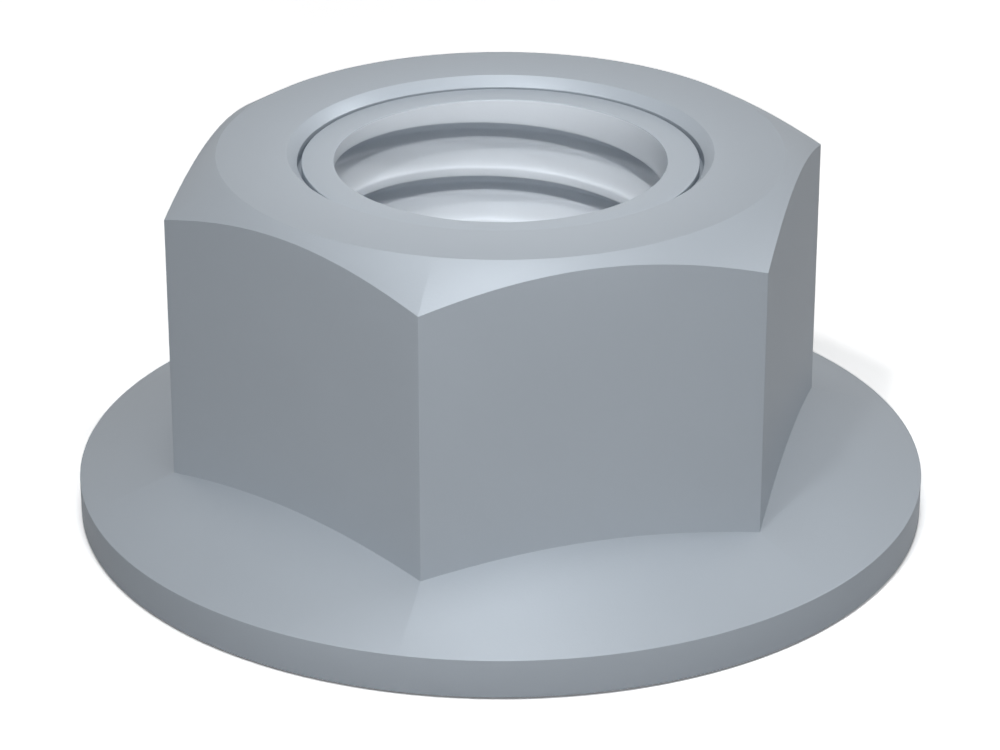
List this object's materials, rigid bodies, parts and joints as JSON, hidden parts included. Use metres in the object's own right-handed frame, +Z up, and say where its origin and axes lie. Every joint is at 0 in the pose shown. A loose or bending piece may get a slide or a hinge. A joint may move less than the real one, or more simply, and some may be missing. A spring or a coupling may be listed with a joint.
{
  "type": "serrated flange nut",
  "caption": "Hexagon nut with a wide sloping flange, a threaded bore and ratchet serrations under the flange that resist loosening.",
  "frame": {"origin": "middle of the bearing face, at the level of the tooth crests", "axes": "+Z up the bore towards the top face, +X through a corner of the hexagon, +Y square to a flat"},
  "size_m": [0.0218, 0.0218, 0.0096],
  "materials": {
    "zinc_steel": "satin blue-grey zinc plating"
  },
  "bodies": {
    "root": {"flange_nut": "zinc_steel"}
  },
  "joints": []
}
